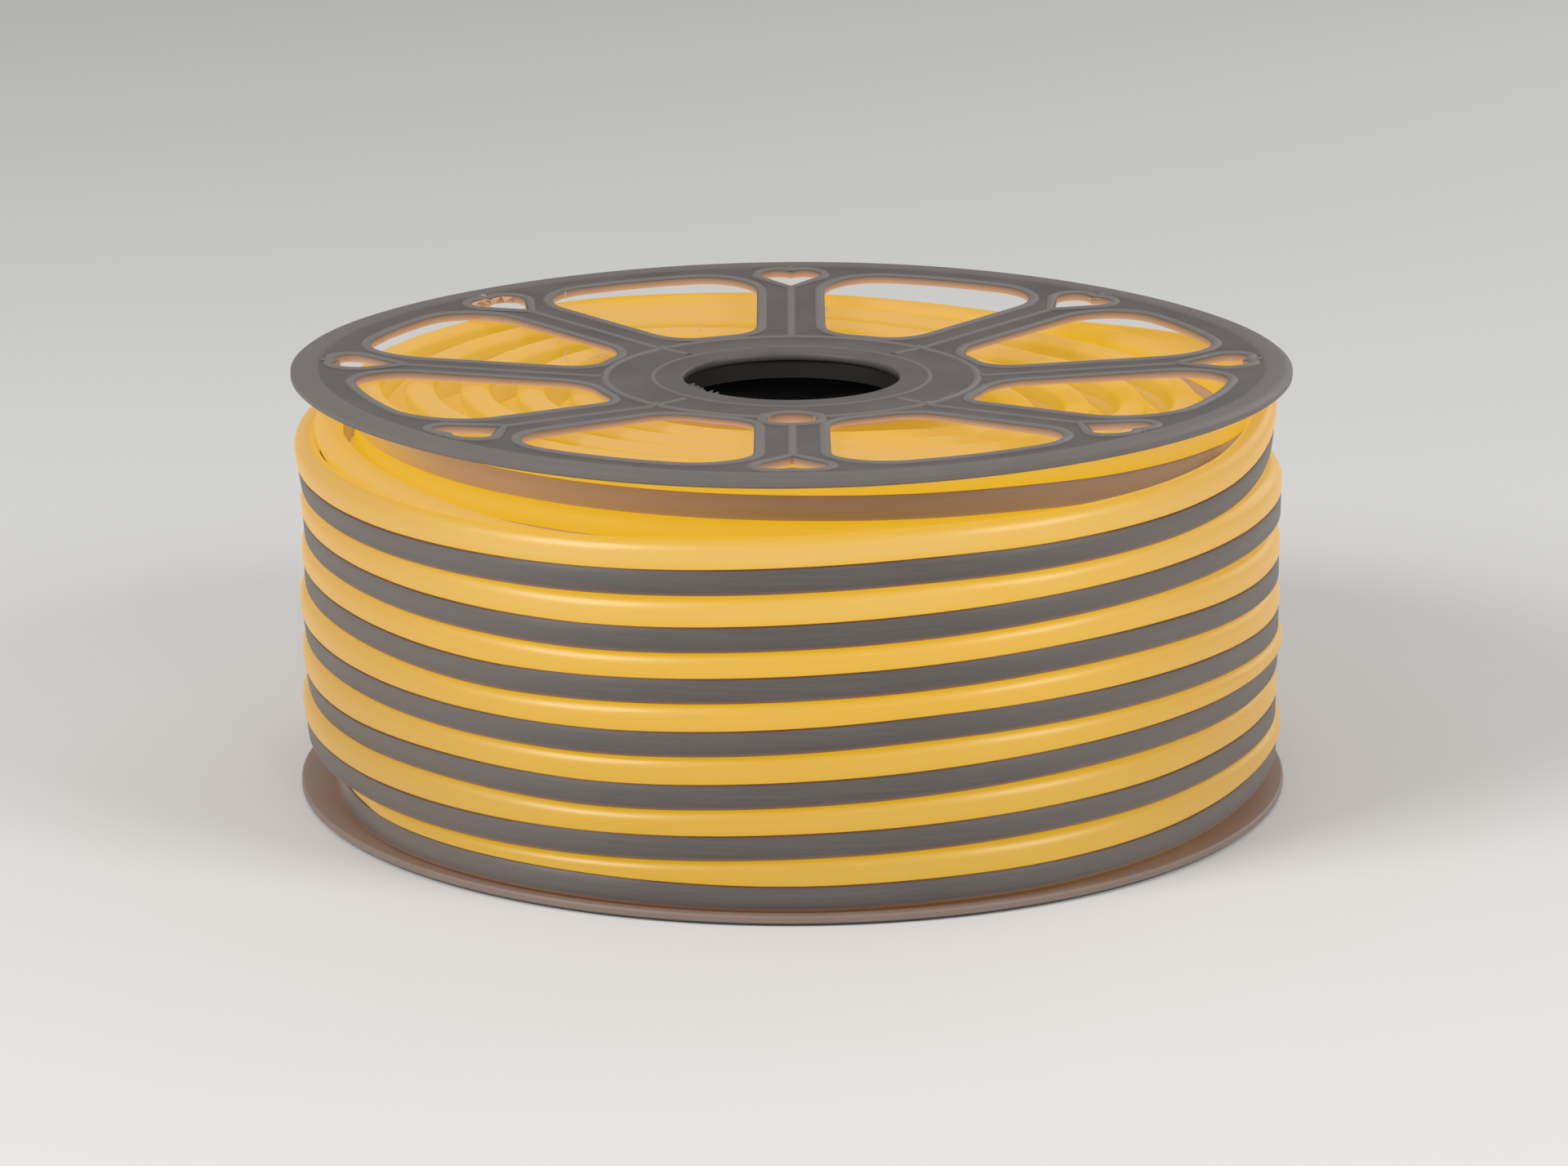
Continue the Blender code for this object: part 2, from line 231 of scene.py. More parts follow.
def new_piece(name, mesh):
    piece = bpy.data.objects.new(name, mesh)
    bpy.context.scene.collection.objects.link(piece)
    return piece


def settled(piece):
    """Turn a piece's modifiers into plain mesh."""
    evaluated = piece.evaluated_get(bpy.context.evaluated_depsgraph_get())
    mesh = bpy.data.meshes.new_from_object(evaluated)
    piece.modifiers.clear()
    piece.data = mesh
    return piece


def cutter(name, outline, angle):
    """A tall prism on an outline, turned round the reel's axis."""
    points = [Matrix.Rotation(angle, 2) @ point for point in outline]
    mesh = bpy.data.meshes.new(name)
    shape = bmesh.new()
    low = [shape.verts.new((point.x, point.y, 0.0)) for point in points]
    high = [shape.verts.new((point.x, point.y, 2.0 * reel_height)) for point in points]
    shape.faces.new(low[::-1])
    shape.faces.new(high)
    for index, corner in enumerate(low):
        after = (index + 1) % len(low)
        shape.faces.new((corner, low[after], high[after], high[index]))
    bmesh.ops.recalc_face_normals(shape, faces=shape.faces)
    shape.to_mesh(mesh)
    shape.free()
    return new_piece(name, mesh)


def flange_web():
    """The turned wheel with its cut-outs, before its beads are laid on."""
    radii = [bore_radius + bore_rounding * share / 3.0 for share in range(4)]
    radii += [inner_ring_radius + inner_ring_width * share / 6.0 for share in range(-3, 4)]
    radii += [ring_radius + ring_width * share / 8.0 for share in range(-4, 5)]
    radii += [hub_radius, 0.5 * (hub_radius + rim_inner_radius), rim_inner_radius]
    radii += [rim_inner_radius + (flange_radius - rim_inner_radius) * share / 9.0 for share in range(1, 10)]
    section = [(radius, face_depth(radius)) for radius in radii]
    section += [
        (flange_radius, rim_thickness - rim_edge_rounding),
        (flange_radius - rim_edge_rounding, rim_thickness),
        (rim_inner_radius, rim_step + band_thickness),
        (hub_radius + 0.0008, face_depth(hub_radius + 0.0008) + spoke_thickness),
        (hub_radius, dish_depth + web_thickness),
        (bore_radius + boss_step + boss_wall, dish_depth + web_thickness),
        (bore_radius + boss_step + boss_wall, dish_depth + boss_depth),
        (bore_radius + boss_step, dish_depth + boss_depth),
        (bore_radius + boss_step, dish_depth + bore_lip),
        (bore_radius, dish_depth + bore_lip),
        (bore_radius, face_depth(bore_radius)),
    ]
    mesh = bpy.data.meshes.new("web")
    points = [(radius, 0.0, reel_height - depth) for radius, depth in section[:-1]]
    mesh.from_pydata(points, [(i, (i + 1) % len(points)) for i in range(len(points))], [])
    web = new_piece("web", mesh)
    turn = web.modifiers.new("Turn", "SCREW")
    turn.steps = turn.render_steps = reel_steps
    turn.use_merge_vertices = True
    turn.merge_threshold = 0.00001
    front = -0.5 * math.pi
    sector = 2.0 * math.pi / spoke_count
    cutters = bpy.data.collections.new("cutters")
    tools = [cutter("hole_cutter", hole_outline(), front)]
    for index in range(spoke_count):
        tools.append(cutter("opening_cutter", opening_outline(), front + index * sector))
        tools.append(cutter("heart_cutter", heart_outline(), front + index * sector))
    for tool in tools:
        cutters.objects.link(tool)
    cut = web.modifiers.new("Cut-outs", "BOOLEAN")
    cut.operand_type = "COLLECTION"
    cut.collection = cutters
    settled(web)
    for tool in tools:
        bpy.data.objects.remove(tool, do_unlink=True)
    bpy.data.collections.remove(cutters)
    return web


class Wire:
    """A socket of a node tree that can stand in a sum, and that adds the nodes it needs."""

    def __init__(self, tree, socket=None):
        self.tree = tree
        self.socket = socket

    def node(self, kind, settings=None, values=None, output=0):
        """Add a node: its settings first, then the values or links of its sockets."""
        node = self.tree.nodes.new(kind)
        for name, value in (settings or {}).items():
            setattr(node, name, value)
        for name, value in (values or {}).items():
            if isinstance(value, Wire):
                self.tree.links.new(value.socket, node.inputs[name])
            else:
                node.inputs[name].default_value = value
        return Wire(self.tree, node.outputs[output])

    def math(self, operation, first, second):
        return self.node("ShaderNodeMath", {"operation": operation}, {0: first, 1: second})

    def __add__(self, other):
        return self.math("ADD", self, other)

    def __radd__(self, other):
        return self.math("ADD", other, self)

    def __sub__(self, other):
        return self.math("SUBTRACT", self, other)

    def __rsub__(self, other):
        return self.math("SUBTRACT", other, self)

    def __mul__(self, other):
        return self.math("MULTIPLY", self, other)

    def __rmul__(self, other):
        return self.math("MULTIPLY", other, self)

    def __truediv__(self, other):
        return self.math("DIVIDE", self, other)

    def between(self, low, high):
        """Rise smoothly from 0 to 1 while the value goes from low to high."""
        values = {"Value": self, "From Min": low, "From Max": high}
        return self.node("ShaderNodeMapRange", {"interpolation_type": "SMOOTHSTEP"}, values)

    def blend(self, first, second):
        """Mix two colours, with this value as the share of the second."""
        pair = [(*color, 1.0) if isinstance(color, tuple) else color for color in (first, second)]
        values = {0: self, 6: pair[0], 7: pair[1]}
        return self.node("ShaderNodeMix", {"data_type": "RGBA"}, values, 2)


def moulded_plastic():
    """Grey plastic, matt on its faces, with painted light: the flex's glow painted on its hidden sides, a
    painted highlight on its beads and rim, and painted shade down the bore.
    """
    material = bpy.data.materials.new("moulded_plastic")
    material.use_nodes = True
    tree = material.node_tree
    shader = tree.nodes["Principled BSDF"]
    start = Wire(tree)
    where = start.node("ShaderNodeTexCoord", output=3)
    glow = start.node("ShaderNodeAttribute", {"attribute_name": "glow"}, output=2)
    painted_highlight = start.node("ShaderNodeAttribute", {"attribute_name": "painted_highlight"}, output=2)
    shade = start.node("ShaderNodeAttribute", {"attribute_name": "shade"}, output=2)
    cloud = start.node("ShaderNodeTexNoise", None, {"Vector": where, "Scale": 38.0, "Detail": 4.0})
    grain = start.node("ShaderNodeTexNoise", None, {"Vector": where, "Scale": 1500.0, "Detail": 2.0})
    tone = cloud.between(0.3, 0.7).blend((0.087, 0.073, 0.067), (0.115, 0.098, 0.090))
    # Painted highlight: the beads, ribs and rim are painted paler.
    tone = painted_highlight.blend(tone, (0.180, 0.158, 0.147))
    # Painted shade: the inside of the bore is painted nearly black.
    tone = shade.blend(tone, (0.020, 0.018, 0.016))
    # Painted glow: the flex's light on the hidden sides is painted into the colour and emission.
    tree.links.new(glow.blend(tone, (0.30, 0.20, 0.14)).socket, shader.inputs["Base Color"])
    warm = glow.blend((0.0, 0.0, 0.0), (0.30, 0.150, 0.080))
    tree.links.new(warm.socket, shader.inputs["Emission Color"])
    shader.inputs["Emission Strength"].default_value = 1.0
    tree.links.new((0.42 + 0.12 * cloud).socket, shader.inputs["Roughness"])
    bump = start.node("ShaderNodeBump", None, {"Height": grain, "Strength": 0.25, "Distance": 0.0002})
    tree.links.new(bump.socket, shader.inputs["Normal"])
    return material


reel_plastic = moulded_plastic()


def bead_tree():
    """Sweep a smooth low hump, sunk a little in the web, along each line of a mesh."""
    tree = bpy.data.node_groups.new("moulded_bead", "GeometryNodeTree")
    for name, kind, way in (("Lines", "Geometry", "INPUT"), ("Width", "Float", "INPUT"),
                            ("Height", "Float", "INPUT"), ("Points", "Int", "INPUT"),
                            ("Material", "Material", "INPUT"), ("Bead", "Geometry", "OUTPUT")):
        tree.interface.new_socket(name, in_out=way, socket_type="NodeSocket" + kind)
    start = Wire(tree)
    inputs = tree.nodes.new("NodeGroupInput")
    lines, width, height, count, material = [Wire(tree, inputs.outputs[i]) for i in range(5)]
    curve = start.node("GeometryNodeMeshToCurve", None, {0: lines})
    curve = start.node("GeometryNodeSetCurveNormal", {"mode": "Z_UP"}, {0: curve})
    ring = start.node("GeometryNodeCurvePrimitiveCircle", None, {"Resolution": count, "Radius": 1.0})
    spot = start.node("GeometryNodeInputPosition")
    side = start.node("ShaderNodeSeparateXYZ", None, {0: spot}, 0)
    down = start.node("ShaderNodeSeparateXYZ", None, {0: spot}, 1)
    hump = down * start.node("ShaderNodeMath", {"operation": "ABSOLUTE"}, {0: down})
    placed = start.node("ShaderNodeCombineXYZ", None, {0: 0.5 * width * side, 1: height * (hump + 0.04)})
    ring = start.node("GeometryNodeSetPosition", None, {"Geometry": ring, "Position": placed})
    swept = start.node("GeometryNodeCurveToMesh", None,
                       {"Curve": curve, "Profile Curve": ring, "Fill Caps": True})
    whole = start.node("GeometryNodeRealizeInstances", None, {0: swept})
    done = start.node("GeometryNodeSetMaterial", None, {"Geometry": whole, "Material": material})
    output = tree.nodes.new("NodeGroupOutput")
    tree.links.new(done.socket, output.inputs[0])
    return tree


def set_inputs(modifier, **values):
    """Set a Geometry Nodes modifier's named inputs by their sockets' identifiers."""
    for item in modifier.node_group.interface.items_tree:
        name = item.name.lower().replace(" ", "_")
        if item.in_out == "INPUT" and name in values:
            modifier[item.identifier] = values[name]


def laid_lines(name, lines):
    """A mesh of lines on the flange's outer face: (points, closed) in the plane."""
    places, edges = [], []
    for points, closed in lines:
        first = len(places)
        places += [(p.x, p.y, reel_height - face_depth(p.length)) for p in points]
        last = len(places) - 1
        edges += [(i, i + 1) for i in range(first, last)]
        if closed:
            edges.append((last, first))
    mesh = bpy.data.meshes.new(name)
    mesh.from_pydata(places, edges, [])
    return new_piece(name, mesh)


def flange_beads():
    """Beads round the cut-outs, and ribs along the spokes."""
    front = -0.5 * math.pi
    sector = 2.0 * math.pi / spoke_count
    inset = 0.50 * bead_width
    rings = [(hole_outline(inset), 0)]
    ribs = []
    for index in range(spoke_count):
        rings.append((opening_outline(inset), index))
        rings.append((heart_outline(inset), index))
        inner = ring_radius + 0.001
        if index == 0:
            inner = threading_hole_place + threading_hole_radius + 0.001
        if index % 2:
            inner = 0.0465
        steps = [inner + (heart_tip_radius - 0.002 - inner) * step / 56.0 for step in range(57)]
        ribs.append(([Vector((radius, 0.0)) for radius in steps], index))
        cleft = [heart_outer_radius - 0.0012 + 0.0018 * step for step in range(4)]
        ribs.append(([Vector((radius, 0.0)) for radius in cleft], index))
    pieces = []
    for name, lines, closed, width, height in (("beads", rings, True, bead_width, bead_height),
                                               ("ribs", ribs, False, rib_width, rib_height)):
        turned = [([Matrix.Rotation(front + index * sector, 2) @ p for p in points], closed)
                  for points, index in lines]
        piece = laid_lines(name, turned)
        sweep = piece.modifiers.new("Sweep", "NODES")
        sweep.node_group = bead_tree()
        set_inputs(sweep, width=width, height=height, points=14, material=reel_plastic)
        pieces.append(settled(piece))
    return pieces


def joined(name, pieces):
    """Join meshes into one piece."""
    shape = bmesh.new()
    for piece in pieces:
        shape.from_mesh(piece.data)
        bpy.data.objects.remove(piece, do_unlink=True)
    mesh = bpy.data.meshes.new(name)
    shape.to_mesh(mesh)
    shape.free()
    return new_piece(name, mesh)


def flash_film(edge, towards, reach, lift, seed):
    """A thin ragged film of plastic that squeezed out along an edge of the mould."""
    chance = random.Random(seed)
    mesh = bpy.data.meshes.new("film")
    places = []
    for point in edge:
        root = Vector((point.x, point.y, reel_height - face_depth(point.length) - 0.3 * MM))
        inward = (Vector((towards.x, towards.y, root.z)) - root).normalized()
        length = reach * chance.uniform(0.1, 1.0) ** 1.5
        places += [root, root + inward * length + Vector((0.0, 0.0, lift * chance.uniform(-0.4, 1.0)))]
    rows = len(edge) - 1
    mesh.from_pydata(places, [], [(2 * i, 2 * i + 2, 2 * i + 3, 2 * i + 1) for i in range(rows)])
    film = new_piece("film", mesh)
    wall = film.modifiers.new("Wall", "SOLIDIFY")
    wall.thickness = film_thickness
    return settled(film)


def flash_thread(places):
    """An untrimmed thread of plastic through (x, y, height above the flange) places in mm."""
    curve = bpy.data.curves.new("thread", "CURVE")
    curve.dimensions = "3D"
    curve.bevel_depth = thread_thickness / 2.0
    curve.bevel_resolution = 1
    curve.resolution_u = 5
    curve.use_fill_caps = True
    spline = curve.splines.new("NURBS")
    spline.points.add(len(places) - 1)
    spline.order_u = 3
    spline.use_endpoint_u = True
    for point, (x, y, above) in zip(spline.points, places):
        face = reel_height - face_depth(math.hypot(x, y) * MM)
        point.co = (x * MM, y * MM, min(face + above * MM, reel_height - thread_thickness), 1.0)
    line = new_piece("thread_line", curve)
    mesh = bpy.data.meshes.new_from_object(line.evaluated_get(bpy.context.evaluated_depsgraph_get()))
    bpy.data.objects.remove(line, do_unlink=True)
    return new_piece("thread", mesh)


def moulding_flash():
    """The flash and threads that were left on the upper flange."""
    axis = Vector((0.0, 0.0))
    front = -0.5 * math.pi
    sector = 2.0 * math.pi / spoke_count
    bore_lip_edge = arc(axis, bore_radius, front - 1.35, front - 0.35, 34)
    pieces = [flash_film(bore_lip_edge, axis, 2.6 * MM, 1.0 * MM, 4)]
    heart = [Matrix.Rotation(front + 5 * sector, 2) @ point for point in heart_outline()]
    heart_middle = sum(heart, Vector((0.0, 0.0))) / len(heart)
    far_side = heart[len(heart) // 6: len(heart) - len(heart) // 5]
    pieces.append(flash_film(far_side, heart_middle, 4.4 * MM, -1.2 * MM, 11))
    for index, side, reach in ((7, 0.42, 1.8), (1, 0.58, 1.6), (3, 0.55, 1.3), (6, 0.5, 1.2)):
        outline = [Matrix.Rotation(front + index * sector, 2) @ point for point in heart_outline()]
        first = int(side * len(outline))
        middle = sum(outline, Vector((0.0, 0.0))) / len(outline)
        pieces.append(flash_film(outline[first - 2: first + 3], middle, reach * MM, 0.2 * MM, 20 + index))
    for x, y in ((-10.9, 86.8), (11.6, 95.0)):
        patch = [Vector((x, y + step)) * MM for step in (-2.0, -0.9, 0.0, 0.9, 2.2)]
        pieces.append(flash_film(patch, Vector((6.0 * x, y)) * MM, 2.0 * MM, -1.2 * MM, 31))
    threads = [
        [(-75.2, 106.6, -0.8), (-75.6, 107.0, 1.6), (-75.0, 106.8, 3.4), (-75.7, 106.4, 5.0)],
        [(-101.6, 104.4, -0.4), (-102.3, 104.9, 0.8), (-101.8, 104.2, 1.3), (-102.9, 104.6, 1.5)],
        [(-100.8, 104.8, -0.4), (-101.4, 104.2, 0.5), (-102.6, 104.4, 0.9), (-101.9, 105.1, 0.2)],
        [(-100.4, 103.6, -0.4), (-101.2, 103.9, 1.0), (-103.5, 105.0, 1.6)],
        [(-57.6, 29.5, -0.6), (-59.5, 27.0, 1.3), (-62.5, 25.5, 1.0), (-65.4, 23.4, -0.4),
         (-63.8, 22.2, -0.8)],
        [(-58.2, 27.2, -0.5), (-60.8, 25.2, 0.5), (-62.6, 23.8, 1.2), (-61.6, 22.9, -0.6)],
        [(-70.8, 21.6, -0.8), (-72.4, 22.4, 0.8), (-72.0, 25.2, 1.9), (-70.6, 28.4, 1.2)],
        [(-38.9, 67.0, -0.6), (-39.2, 67.6, 0.8), (-38.4, 68.4, 1.6)],
        [(-29.8, 67.6, -0.6), (-30.0, 68.6, 0.9), (-30.9, 69.2, 1.7)],
    ]
    return pieces + [flash_thread(places) for places in threads]


def mark_lighting(mesh, inner_face_glow, edge_glow, flash_start):
    """Mark each corner with painted light: painted glow from the flex, a painted highlight on the rim and
    where it stands proud, and painted shade down the bore.
    """
    glow, painted_highlight, shade = [], [], []
    for face in mesh.polygons:
        middle = math.hypot(face.center.x, face.center.y)
        sunk = reel_height - face.center.z - face_depth(middle)
        outside_drum = middle > drum_radius - 0.5 * MM
        sheltered = outside_drum and middle < flange_radius - rim_edge_rounding
        outer_edge = middle > flange_radius - rim_edge_rounding and sunk > 0.4 * MM
        for index in face.vertices:
            corner = mesh.vertices[index].co
            radius = math.hypot(corner.x, corner.y)
            depth = reel_height - corner.z - face_depth(radius)
            bare_depth = dish_depth if radius < hub_radius else face_depth(radius)
            proud = reel_height - corner.z - bare_depth
            # Painted highlight on the rim and on whatever stands proud of the bare face.
            rim_share = min(1.0, max(0.0, (radius - rim_inner_radius - 0.1 * MM) / (0.8 * MM)))
            painted_highlight.append(max(0.6 * rim_share, min(1.0, max(0.0, -proud / (0.4 * MM)))))
            # Painted shade down the bore, deeper the further below the face.
            shade.append(0.0 if outside_drum else min(1.0, max(0.0, (depth - 0.2 * MM) / (1.5 * MM))))
            # Painted glow from the flex on the flash, the rim's outer edge and the sheltered sides.
            if face.index >= flash_start and outside_drum:
                glow.append(1.0)
            elif outer_edge:
                glow.append(edge_glow)
            elif not sheltered or sunk < 0.2 * MM:
                glow.append(0.0)
            elif face.normal.z < -0.7:
                glow.append(inner_face_glow)
            else:
                glow.append(min(1.0, 0.25 + 0.75 * depth / spoke_thickness))
    for name, values in (("glow", glow), ("painted_highlight", painted_highlight), ("shade", shade)):
        mesh.attributes.new(name, "FLOAT", "CORNER").data.foreach_set("value", values)


moulding = joined("moulding", [flange_web()] + flange_beads())
lower_moulding = new_piece("flange_bottom_moulding", moulding.data.copy())
flash_start = len(moulding.data.polygons)
moulding = joined("flange_top_moulding", [moulding] + moulding_flash())
mark_lighting(moulding.data, 0.8, 0.0, flash_start)
mark_lighting(lower_moulding.data, 0.22, 0.18, flash_start)
for vertex in moulding.data.vertices:
    azimuth = math.atan2(vertex.co.x, -vertex.co.y)
    vertex.co.z += rim_warp(azimuth, math.hypot(vertex.co.x, vertex.co.y))
for vertex in lower_moulding.data.vertices:
    vertex.co.z = reel_height - vertex.co.z
lower_moulding.data.flip_normals()
for piece, node in ((moulding, "flange_top"), (lower_moulding, "flange_bottom")):
    piece.data.shade_smooth()
    piece.data.set_sharp_from_angle(angle=math.radians(35.0))
    piece.data.materials.clear()
    piece.data.materials.append(reel_plastic)
    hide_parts(node)
    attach(piece, "root")


# Hub drum
# The plain tube between the flanges that the first layer is wound on, of the same plastic.
drum_wall = 0.0030


def drum_plastic():
    """The same plastic, painted dark for the shade inside the tube, with the flex's glow painted on its outer
    side.
    """
    material = bpy.data.materials.new("drum_plastic")
    material.use_nodes = True
    tree = material.node_tree
    shader = tree.nodes["Principled BSDF"]
    start = Wire(tree)
    where = start.node("ShaderNodeTexCoord", output=3)
    flat = start.node("ShaderNodeVectorMath", {"operation": "MULTIPLY"}, {0: where, 1: (1.0, 1.0, 0.0)})
    radius = start.node("ShaderNodeVectorMath", {"operation": "LENGTH"}, {0: flat}, 1)
    outside = radius.between(drum_radius - drum_wall, drum_radius - 0.3 * MM)
    cloud = start.node("ShaderNodeTexNoise", None, {"Vector": where, "Scale": 60.0, "Detail": 3.0})
    # Painted shade: the tube is painted far darker than the flanges.
    tone = cloud.blend((0.030, 0.027, 0.025), (0.042, 0.038, 0.035))
    # Painted glow: the outer side, where the flex is wound on it, is painted warm and made to glow.
    tree.links.new(outside.blend(tone, (0.16, 0.10, 0.06)).socket, shader.inputs["Base Color"])
    warm = outside.blend((0.0, 0.0, 0.0), (0.50, 0.26, 0.020))
    tree.links.new(warm.socket, shader.inputs["Emission Color"])
    shader.inputs["Emission Strength"].default_value = 1.0
    shader.inputs["Roughness"].default_value = 0.5
    return material


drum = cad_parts["hub_drum"]
drum.data.materials.clear()
drum.data.materials.append(drum_plastic())


# Neon flex
# One length of about 50 m: a PVC channel that holds the diodes, and on it a milky dome that
# glows a warm yellow. It is extruded in one go and machine wound from the drum out, twelve
# layers deep, up one layer and down the next, with its dome towards the upper flange.
base_height = 7.85 * MM
dome_height = 6.95 * MM
flex_width = 8.1 * MM
layer_pitch = 8.51 * MM
turn_rise = 15.93 * MM
first_layer_radius = 56.6 * MM
layer_count = 12
seat = 0.3 * MM
ring_steps = 120
ring_spacing = 6.2 * MM
hidden_ring_spacing = 12.0 * MM
tail_pull = 3.2 * MM
crossing_bulge = 1.0 * MM

# One turn as it was wound against the upper flange, in turns past the front:
# how high the channel's underside lies in the two layers that meet there.
rising_crest = [(-0.175, 104.0), (0.0, 102.4), (0.12, 99.3), (0.19, 97.6), (0.34, 104.0),
                (0.5, 112.0), (0.62, 117.0), (0.70, 119.3), (0.825, 119.7), (1.0, 117.8),
                (1.075, 116.4), (1.12, 114.6)]
falling_crest = [(1.25, 111.2), (1.30, 110.6), (1.42, 110.8), (1.49, 113.6), (1.58, 115.6),
                 (1.63, 114.8), (1.68, 111.4), (1.80, 107.2), (1.86, 102.3), (1.905, 98.2),
                 (1.96, 96.6), (2.0, 95.6)]
crest_drops = [9.0, 9.0, 8.0, 1.0, 0.0]

# How sheltered the last of those turns is as it runs out from under the flange.
top_turn_shelter = ([0.80, 0.90, 1.0, 1.15], [1.0, 0.85, 0.5, 0.42])

# The outermost layer, in turns past the front of its lowest turn: where its underside lies
# as it leaves the lower flange, and then how far it strays from an even rise.
lowest_turn = [(-0.15, 3.6), (0.0, 3.5), (0.04, 4.3), (0.08, 4.6), (0.125, 5.8), (0.167, 8.0), (0.21, 11.0),
               (0.3, 11.6), (0.5, 12.6)]
strays = [(0.7, 0.0), (0.83, -0.2), (1.0, 0.2), (1.08, -0.9), (1.125, -1.5), (1.17, -0.4), (1.21, 0.3),
          (1.5, 0.0), (1.83, -0.6), (1.875, 0.4), (1.94, -0.8), (2.0, -0.1), (2.08, 0.2), (2.17, -0.4),
          (2.21, 1.0), (2.5, 0.0), (2.83, 0.6), (2.94, -0.6), (3.0, 0.2), (3.04, 0.9), (3.08, 0.0),
          (3.125, -1.0), (3.17, -2.0), (3.21, -3.2), (3.3, -2.5), (3.5, 0.0), (3.83, 0.9), (3.9, -0.9),
          (4.0, -0.1), (4.08, -0.2), (4.125, -0.9), (4.17, -2.5), (4.21, -2.5), (4.5, -0.8), (4.83, 0.7),
          (4.94, -1.2), (5.0, -0.7), (5.125, -0.5), (5.17, 0.1), (5.21, 1.4), (5.5, 0.5), (5.83, 0.3),
          (5.94, 0.0), (6.0, 0.3), (6.04, 0.2), (6.08, -1.0), (6.125, -0.9), (6.167, 0.9), (6.19, 3.2),
          (6.21, 7.0), (6.25, 11.0), (6.29, 12.0), (6.34, 9.5), (6.42, 3.0)]


# How far each outermost turn leans outwards at the left, in radians.
outer_leans = (0.10, 0.14, 0.12, 0.04, 0.06, 0.16)


def layer_radius(layer):
    return first_layer_radius + layer * layer_pitch


def layer_floor(layer):
    """The lowest that the flex can lie in a layer, on the dished lower flange."""
    return face_depth(layer_radius(layer)) + web_thickness + seat


def outer_ripple(turns):
    """How far the outermost turns stray from an even helix."""
    azimuth = 2.0 * math.pi * turns
    return (-2.35 * math.sin(azimuth) + 3.33 * math.sin(2 * azimuth) - 0.94 * math.cos(2 * azimuth)) * MM


def crest_sink(layer):
    """How much lower than in the outer layers a layer's top turns lie, under the dished flange."""
    lowest_ceiling = reel_height - face_depth(layer_radius(layer)) - web_thickness - seat - 1.0 * MM
    return max(0.0, 119.7 * MM + base_height + 0.6 * dome_height - lowest_ceiling)


def winding_route():
    """The route as (turns, layer, height of the channel's underside), from the drum outwards."""
    route = [(0.0, 0, 98.0 * MM), (5.78, 0, layer_floor(0))]
    turn = 6
    for pair, drop in enumerate(crest_drops):
        rising, falling = 2 * pair + 1, 2 * pair + 2
        sink = crest_sink(rising)
        route.append((turn - 0.15, rising, layer_floor(rising)))
        crest = turn + 6
        route += [(crest + past, rising, height * MM - sink) for past, height in rising_crest]
        for past, height in falling_crest:
            sunk = max(sink, drop * min(1.0, (past - 1.2) / 0.3) * MM)
            route.append((crest + past, falling, height * MM - sunk))
        turn = crest + 8
        route.append((turn - 0.22, falling, layer_floor(falling)))
    outermost = layer_count - 1
    route += [(turn + past, outermost, height * MM) for past, height in lowest_turn]
    stray_turns = [key[0] for key in strays]
    stray_heights = [key[1] * MM for key in strays]
    for step in range(36, 322):
        past = step / 50.0
        height = 4.21 * MM + turn_rise * past + outer_ripple(past)
        height += float(np.interp(past, stray_turns, stray_heights))
        route.append((turn + past, outermost, height))
    return route, turn


def smoothed(values, reach):
    """Average each value with its neighbours, so that the flex bends evenly."""
    window = np.hanning(2 * reach + 1)
    padded = np.pad(values, reach, mode="edge")
    return np.convolve(padded, window / window.sum(), mode="valid")


def flex_leans(crest, outer_turn):
    """How far the flex leans, in radians, as (turns, lean) in order."""
    leans = [(crest + 1.68, 0.0), (crest + 1.76, 0.30), (crest + 1.86, 0.30), (crest + 1.95, 0.15),
             (crest + 2.03, 0.0), (outer_turn - 0.30, 0.0), (outer_turn - 0.22, -0.15),
             (outer_turn - 0.08, -0.12), (outer_turn, 0.0)]
    for turn, left in enumerate(outer_leans):
        leans += [(outer_turn + turn + share, left * part)
                  for share, part in ((0.58, 0.0), (0.70, 1.0), (0.80, 1.0), (0.90, 0.0))]
    return leans + [(outer_turn + 6.1, 0.0), (outer_turn + 6.22, 0.1)]


